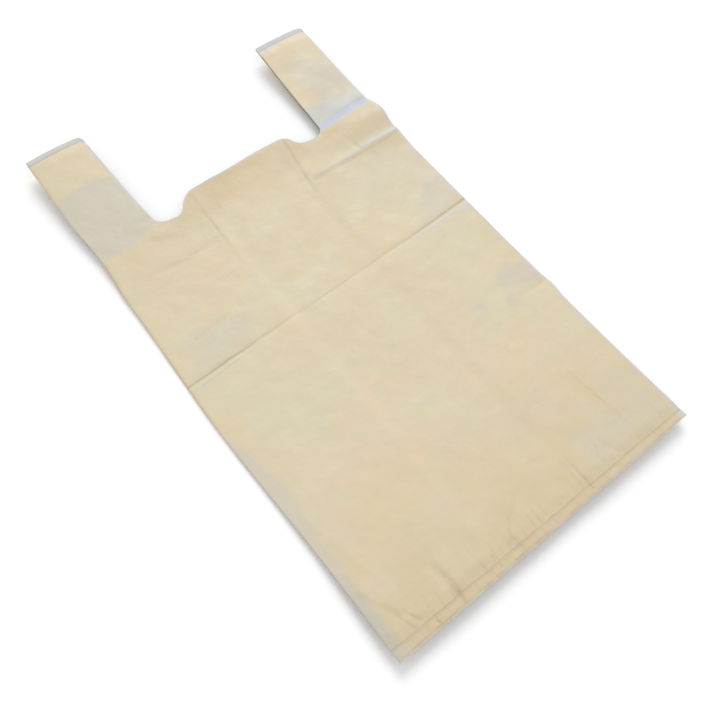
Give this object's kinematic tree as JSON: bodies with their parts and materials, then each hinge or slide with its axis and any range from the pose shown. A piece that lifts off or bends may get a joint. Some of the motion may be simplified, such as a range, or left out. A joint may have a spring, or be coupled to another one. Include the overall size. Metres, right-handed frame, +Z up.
{
  "type": "plastic carrier bag",
  "caption": "Empty vest-type carrier bag of thin cream film, lying flat, with tucked-in sides, a sealed base and two looped handles.",
  "frame": {"origin": "under the middle of the bag's box, on the surface the back panel lies on", "axes": "+X across the bag's width, +Y from the bottom edge towards the handles, +Z up out of the front panel"},
  "size_m": [0.3118, 0.533, 0.0154],
  "materials": {
    "cream_film": "soft satin, slightly see-through film"
  },
  "bodies": {
    "root": {"carrier_bag": "cream_film"}
  },
  "joints": []
}
